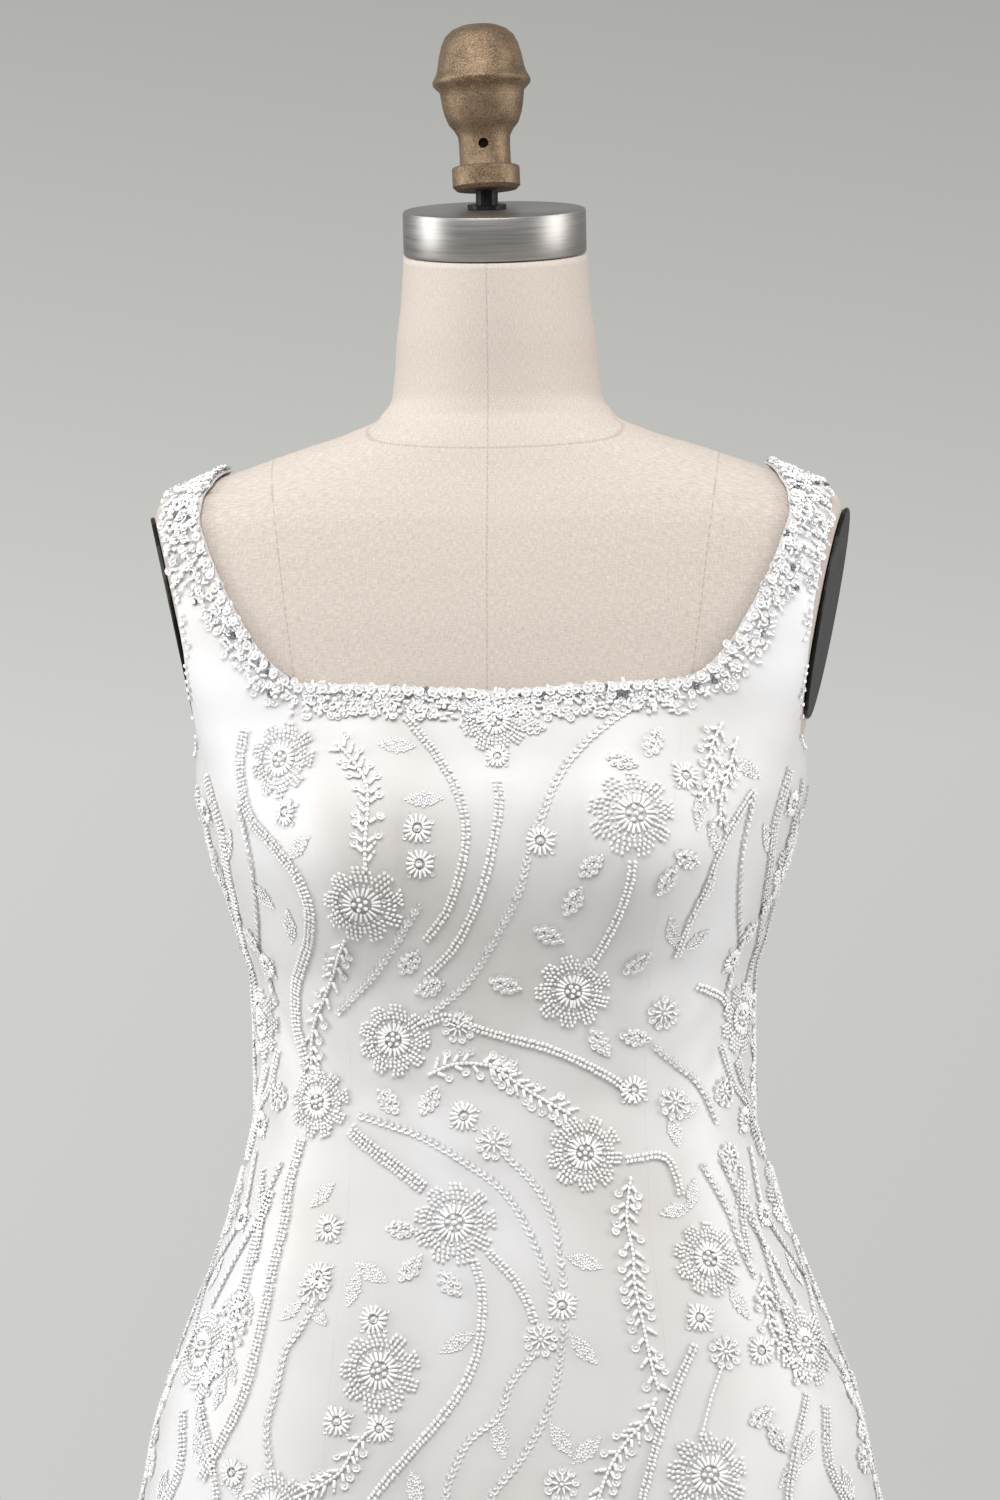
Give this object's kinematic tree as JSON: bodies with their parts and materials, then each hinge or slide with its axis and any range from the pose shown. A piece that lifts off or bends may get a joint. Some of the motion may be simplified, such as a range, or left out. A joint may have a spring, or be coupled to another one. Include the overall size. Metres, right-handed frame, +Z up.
{
  "type": "beaded homecoming dress on a limbless dress form",
  "caption": "Short white A-line dress with a square neck, wide straps and bead embroidery, worn by a limbless dress form with a neck cap, finial and round-based stand.",
  "frame": {"origin": "middle of the stand's base, on the surface that it stands on", "axes": "+Z up, the dress's front towards -Y, +X to the right when looking at the front"},
  "size_m": [0.5182, 0.3859, 1.5699],
  "materials": {
    "beaded_satin": "white satin under fine tulle with clear and white bead embroidery",
    "bead_trim": "silver and clear sequins, white pearls and cut stones",
    "zip_tape": "white woven tape with a fine coil",
    "zip_metal": "white enamelled zinc",
    "linen": "fine beige linen, stitched seams",
    "brushed_aluminium": "circular brushed",
    "black_metal": "satin black",
    "aged_bronze": "cast, aged gold-brown",
    "dark_steel": "dark brushed",
    "stand_paint": "satin black powder coat"
  },
  "bodies": {
    "dress_on_form": {"front_center": "beaded_satin", "side_front_left": "beaded_satin", "side_front_right": "beaded_satin", "back_left": "beaded_satin", "back_right": "beaded_satin", "neckline_trim_front": "bead_trim", "neckline_trim_back_left": "bead_trim", "neckline_trim_back_right": "bead_trim", "zip_chain": "zip_tape", "zip_slider": "zip_metal", "form_body": "linen", "neck_cap": "brushed_aluminium", "finial_stub": "black_metal", "finial": "aged_bronze", "arm_plate_left": "dark_steel", "arm_plate_right": "dark_steel", "form_socket": "stand_paint", "pole": "stand_paint", "base": "stand_paint"},
    "zip_pull": {"zip_pull": "zip_metal"}
  },
  "joints": [
    {"name": "zip_pull_hinge", "type": "hinge", "parent": "dress_on_form", "child": "zip_pull", "pos_m": [0, 0.1193, 1.203], "axis": [1, 0, 0], "range_deg": [0, 150]}
  ]
}
